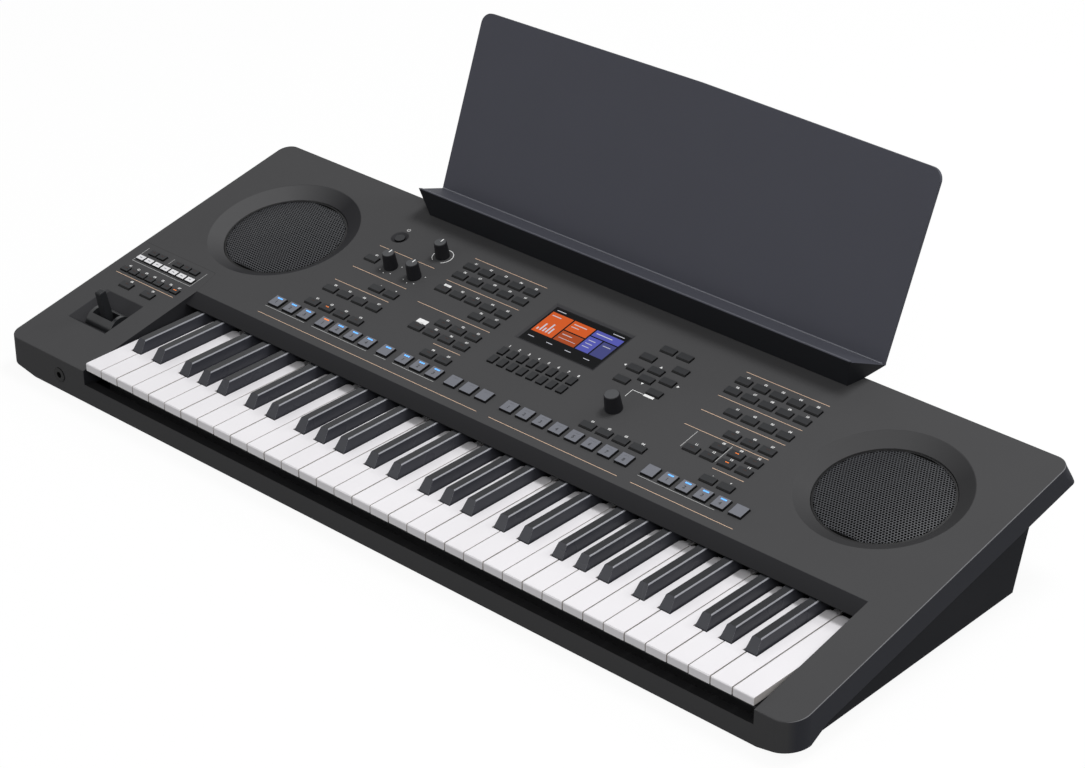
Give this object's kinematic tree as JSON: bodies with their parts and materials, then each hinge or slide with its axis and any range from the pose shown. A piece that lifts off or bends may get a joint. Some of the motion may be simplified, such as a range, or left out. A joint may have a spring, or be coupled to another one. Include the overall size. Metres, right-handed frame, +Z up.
{
  "type": "arranger keyboard",
  "caption": "Portable arranger keyboard with a sloped control panel, round stereo speakers, colour display, joystick and a lift-off music rest.",
  "frame": {"origin": "on the ground plane under the middle of the bounding box", "axes": "+X to the player's right along the keys, +Y away from the player, +Z up"},
  "size_m": [1.009, 0.4844, 0.3084],
  "materials": {
    "case_grey": "fine matt grain",
    "case_black": "matt",
    "rest_grey": "matt",
    "key_white": "gloss",
    "key_black": "satin",
    "pad_grey": "translucent rubbery grey",
    "button_black": "matt",
    "button_grey": "matt",
    "knob_black": "soft matt",
    "grille_metal": "perforated, matt",
    "speaker_metal": "matt",
    "display_glass": "clear",
    "module_metal": "plain",
    "steel": "plain",
    "foot_rubber": "matt",
    "chassis_plastic": "matt",
    "contact_rubber": "matt",
    "board_green": "satin",
    "jack_black": "matt",
    "panel_ink": "printed",
    "pad_light": "lit window",
    "display_light": "lit picture"
  },
  "bodies": {
    "case": {"upper_case": "case_grey", "lower_case": "case_black", "left_grille": "grille_metal", "right_grille": "grille_metal", "left_speaker": "speaker_metal", "right_speaker": "speaker_metal", "display_window": "display_glass", "display_module": "module_metal", "key_chassis": "chassis_plastic", "key_contact_board": "board_green", "contact_rubber": "contact_rubber", "panel_boards": "board_green", "main_board": "board_green", "amp_board": "board_green", "phones_jack": "jack_black", "rear_jacks": "jack_black", "rubber_feet": "foot_rubber", "case_screws": "steel", "joystick_bracket": "module_metal", "knob_pots": "module_metal"},
    "music_rest": {"music_rest": "rest_grey"},
    "joystick_barrel": {"joystick_barrel": "button_black"},
    "joystick_lever": {"joystick_lever": "knob_black"},
    "volume_knob": {"volume_knob": "knob_black"},
    "control_knob_1": {"control_knob_1": "knob_black"},
    "control_knob_2": {"control_knob_2": "knob_black"},
    "data_dial": {"data_dial": "knob_black"},
    "standby_button": {"standby_button": "button_black"},
    "keys_ceg_1": {"keys_ceg_1": "key_white"},
    "keys_dfa_1": {"keys_dfa_1": "key_white"},
    "keys_black_1": {"keys_black_1": "key_black"},
    "keys_ceg_2": {"keys_ceg_2": "key_white"},
    "keys_dfa_2": {"keys_dfa_2": "key_white"},
    "keys_black_2": {"keys_black_2": "key_black"},
    "keys_ceg_3": {"keys_ceg_3": "key_white"},
    "keys_dfa_3": {"keys_dfa_3": "key_white"},
    "keys_black_3": {"keys_black_3": "key_black"},
    "keys_ceg_4": {"keys_ceg_4": "key_white"},
    "keys_dfa_4": {"keys_dfa_4": "key_white"},
    "keys_black_4": {"keys_black_4": "key_black"},
    "keys_ceg_5": {"keys_ceg_5": "key_white"},
    "keys_dfa_5": {"keys_dfa_5": "key_white"},
    "keys_black_5": {"keys_black_5": "key_black"},
    "keys_top": {"keys_top": "key_white"},
    "style_pads": {"style_pads": "pad_grey"},
    "registration_pads": {"registration_pads": "pad_grey"},
    "multi_pads": {"multi_pads": "pad_grey"},
    "chord_buttons": {"chord_buttons": "button_black"},
    "tempo_buttons": {"tempo_buttons": "button_black"},
    "style_buttons": {"style_buttons": "button_black"},
    "song_buttons": {"song_buttons": "button_black"},
    "function_buttons": {"function_buttons": "button_black"},
    "display_buttons": {"display_buttons": "button_black"},
    "navigation_buttons": {"navigation_buttons": "button_black"},
    "bank_buttons": {"bank_buttons": "button_black"},
    "voice_buttons": {"voice_buttons": "button_black"},
    "part_buttons": {"part_buttons": "button_black"},
    "scale_white_buttons": {"scale_white_buttons": "button_grey"},
    "scale_black_buttons": {"scale_black_buttons": "button_black"},
    "scale_memory_buttons": {"scale_memory_buttons": "button_black"}
  },
  "joints": [
    {"name": "music_rest_lift", "type": "slide", "parent": "case", "child": "music_rest", "axis": [0, -0.197, 0.9804], "range_m": [0, 0.03]},
    {"name": "joystick_tip", "type": "hinge", "parent": "case", "child": "joystick_barrel", "pos_m": [-0.4407, -0.16182, 0.04087], "axis": [1, 0, 0], "range_deg": [-18, 18], "stiffness_Nm_per_rad": 0.15},
    {"name": "joystick_swing", "type": "hinge", "parent": "joystick_barrel", "child": "joystick_lever", "pos_m": [-0.4407, -0.16182, 0.04087], "axis": [0, 0.9804, 0.197], "range_deg": [-20, 20], "stiffness_Nm_per_rad": 0.1},
    {"name": "volume_knob_turn", "type": "hinge", "parent": "case", "child": "volume_knob", "pos_m": [-0.20705, 0.08619, 0.10559], "axis": [0, -0.197, 0.9804], "range_deg": [-150, 150]},
    {"name": "control_knob_1_turn", "type": "hinge", "parent": "case", "child": "control_knob_1", "pos_m": [-0.24075, 0.04541, 0.09739], "axis": [0, -0.197, 0.9804], "range_deg": [-150, 150]},
    {"name": "control_knob_2_turn", "type": "hinge", "parent": "case", "child": "control_knob_2", "pos_m": [-0.20755, 0.04541, 0.09739], "axis": [0, -0.197, 0.9804], "range_deg": [-150, 150]},
    {"name": "data_dial_turn", "type": "hinge", "parent": "case", "child": "data_dial", "pos_m": [0.10555, -0.00744, 0.08678], "axis": [0, -0.197, 0.9804], "continuous": true},
    {"name": "standby_press", "type": "slide", "parent": "case", "child": "standby_button", "axis": [0, 0.197, -0.9804], "range_m": [0, 0.001], "stiffness_N_per_m": 100, "springref_m": -0.004},
    {"name": "keys_ceg_1_press", "type": "hinge", "parent": "case", "child": "keys_ceg_1", "pos_m": [0, -0.04396, 0.0448], "axis": [1, 0, 0], "range_deg": [0, 3], "stiffness_Nm_per_rad": 2, "springref_deg": -11.46},
    {"name": "keys_dfa_1_press", "type": "hinge", "parent": "case", "child": "keys_dfa_1", "pos_m": [0, -0.04396, 0.0448], "axis": [1, 0, 0], "range_deg": [0, 3], "stiffness_Nm_per_rad": 2, "springref_deg": -11.46},
    {"name": "keys_black_1_press", "type": "hinge", "parent": "case", "child": "keys_black_1", "pos_m": [0, -0.04396, 0.0448], "axis": [1, 0, 0], "range_deg": [0, 3], "stiffness_Nm_per_rad": 2, "springref_deg": -11.46},
    {"name": "keys_top_press", "type": "hinge", "parent": "case", "child": "keys_top", "pos_m": [0, -0.04396, 0.0448], "axis": [1, 0, 0], "range_deg": [0, 3], "stiffness_Nm_per_rad": 2, "springref_deg": -11.46},
    {"name": "style_pads_press", "type": "slide", "parent": "case", "child": "style_pads", "axis": [0, 0.197, -0.9804], "range_m": [0, 0.001], "stiffness_N_per_m": 100, "springref_m": -0.004},
    {"name": "registration_pads_press", "type": "slide", "parent": "case", "child": "registration_pads", "axis": [0, 0.197, -0.9804], "range_m": [0, 0.001], "stiffness_N_per_m": 100, "springref_m": -0.004},
    {"name": "multi_pads_press", "type": "slide", "parent": "case", "child": "multi_pads", "axis": [0, 0.197, -0.9804], "range_m": [0, 0.001], "stiffness_N_per_m": 100, "springref_m": -0.004},
    {"name": "chord_buttons_press", "type": "slide", "parent": "case", "child": "chord_buttons", "axis": [0, 0.197, -0.9804], "range_m": [0, 0.001], "stiffness_N_per_m": 100, "springref_m": -0.004},
    {"name": "tempo_buttons_press", "type": "slide", "parent": "case", "child": "tempo_buttons", "axis": [0, 0.197, -0.9804], "range_m": [0, 0.001], "stiffness_N_per_m": 100, "springref_m": -0.004},
    {"name": "style_buttons_press", "type": "slide", "parent": "case", "child": "style_buttons", "axis": [0, 0.197, -0.9804], "range_m": [0, 0.001], "stiffness_N_per_m": 100, "springref_m": -0.004},
    {"name": "song_buttons_press", "type": "slide", "parent": "case", "child": "song_buttons", "axis": [0, 0.197, -0.9804], "range_m": [0, 0.001], "stiffness_N_per_m": 100, "springref_m": -0.004},
    {"name": "function_buttons_press", "type": "slide", "parent": "case", "child": "function_buttons", "axis": [0, 0.197, -0.9804], "range_m": [0, 0.001], "stiffness_N_per_m": 100, "springref_m": -0.004},
    {"name": "display_buttons_press", "type": "slide", "parent": "case", "child": "display_buttons", "axis": [0, 0.197, -0.9804], "range_m": [0, 0.001], "stiffness_N_per_m": 100, "springref_m": -0.004},
    {"name": "navigation_buttons_press", "type": "slide", "parent": "case", "child": "navigation_buttons", "axis": [0, 0.197, -0.9804], "range_m": [0, 0.001], "stiffness_N_per_m": 100, "springref_m": -0.004},
    {"name": "bank_buttons_press", "type": "slide", "parent": "case", "child": "bank_buttons", "axis": [0, 0.197, -0.9804], "range_m": [0, 0.001], "stiffness_N_per_m": 100, "springref_m": -0.004},
    {"name": "voice_buttons_press", "type": "slide", "parent": "case", "child": "voice_buttons", "axis": [0, 0.197, -0.9804], "range_m": [0, 0.001], "stiffness_N_per_m": 100, "springref_m": -0.004},
    {"name": "part_buttons_press", "type": "slide", "parent": "case", "child": "part_buttons", "axis": [0, 0.197, -0.9804], "range_m": [0, 0.001], "stiffness_N_per_m": 100, "springref_m": -0.004},
    {"name": "scale_white_buttons_press", "type": "slide", "parent": "case", "child": "scale_white_buttons", "axis": [0, 0.197, -0.9804], "range_m": [0, 0.001], "stiffness_N_per_m": 100, "springref_m": -0.004},
    {"name": "scale_black_buttons_press", "type": "slide", "parent": "case", "child": "scale_black_buttons", "axis": [0, 0.197, -0.9804], "range_m": [0, 0.001], "stiffness_N_per_m": 100, "springref_m": -0.004},
    {"name": "scale_memory_buttons_press", "type": "slide", "parent": "case", "child": "scale_memory_buttons", "axis": [0, 0.197, -0.9804], "range_m": [0, 0.001], "stiffness_N_per_m": 100, "springref_m": -0.004},
    {"name": "keys_ceg_2_press", "type": "hinge", "parent": "case", "child": "keys_ceg_2", "pos_m": [0, -0.04396, 0.0448], "axis": [1, 0, 0], "range_deg": [0, 3], "stiffness_Nm_per_rad": 2, "springref_deg": -11.46},
    {"name": "keys_dfa_2_press", "type": "hinge", "parent": "case", "child": "keys_dfa_2", "pos_m": [0, -0.04396, 0.0448], "axis": [1, 0, 0], "range_deg": [0, 3], "stiffness_Nm_per_rad": 2, "springref_deg": -11.46},
    {"name": "keys_black_2_press", "type": "hinge", "parent": "case", "child": "keys_black_2", "pos_m": [0, -0.04396, 0.0448], "axis": [1, 0, 0], "range_deg": [0, 3], "stiffness_Nm_per_rad": 2, "springref_deg": -11.46},
    {"name": "keys_ceg_3_press", "type": "hinge", "parent": "case", "child": "keys_ceg_3", "pos_m": [0, -0.04396, 0.0448], "axis": [1, 0, 0], "range_deg": [0, 3], "stiffness_Nm_per_rad": 2, "springref_deg": -11.46},
    {"name": "keys_dfa_3_press", "type": "hinge", "parent": "case", "child": "keys_dfa_3", "pos_m": [0, -0.04396, 0.0448], "axis": [1, 0, 0], "range_deg": [0, 3], "stiffness_Nm_per_rad": 2, "springref_deg": -11.46},
    {"name": "keys_black_3_press", "type": "hinge", "parent": "case", "child": "keys_black_3", "pos_m": [0, -0.04396, 0.0448], "axis": [1, 0, 0], "range_deg": [0, 3], "stiffness_Nm_per_rad": 2, "springref_deg": -11.46},
    {"name": "keys_ceg_4_press", "type": "hinge", "parent": "case", "child": "keys_ceg_4", "pos_m": [0, -0.04396, 0.0448], "axis": [1, 0, 0], "range_deg": [0, 3], "stiffness_Nm_per_rad": 2, "springref_deg": -11.46},
    {"name": "keys_dfa_4_press", "type": "hinge", "parent": "case", "child": "keys_dfa_4", "pos_m": [0, -0.04396, 0.0448], "axis": [1, 0, 0], "range_deg": [0, 3], "stiffness_Nm_per_rad": 2, "springref_deg": -11.46},
    {"name": "keys_black_4_press", "type": "hinge", "parent": "case", "child": "keys_black_4", "pos_m": [0, -0.04396, 0.0448], "axis": [1, 0, 0], "range_deg": [0, 3], "stiffness_Nm_per_rad": 2, "springref_deg": -11.46},
    {"name": "keys_ceg_5_press", "type": "hinge", "parent": "case", "child": "keys_ceg_5", "pos_m": [0, -0.04396, 0.0448], "axis": [1, 0, 0], "range_deg": [0, 3], "stiffness_Nm_per_rad": 2, "springref_deg": -11.46},
    {"name": "keys_dfa_5_press", "type": "hinge", "parent": "case", "child": "keys_dfa_5", "pos_m": [0, -0.04396, 0.0448], "axis": [1, 0, 0], "range_deg": [0, 3], "stiffness_Nm_per_rad": 2, "springref_deg": -11.46},
    {"name": "keys_black_5_press", "type": "hinge", "parent": "case", "child": "keys_black_5", "pos_m": [0, -0.04396, 0.0448], "axis": [1, 0, 0], "range_deg": [0, 3], "stiffness_Nm_per_rad": 2, "springref_deg": -11.46}
  ]
}
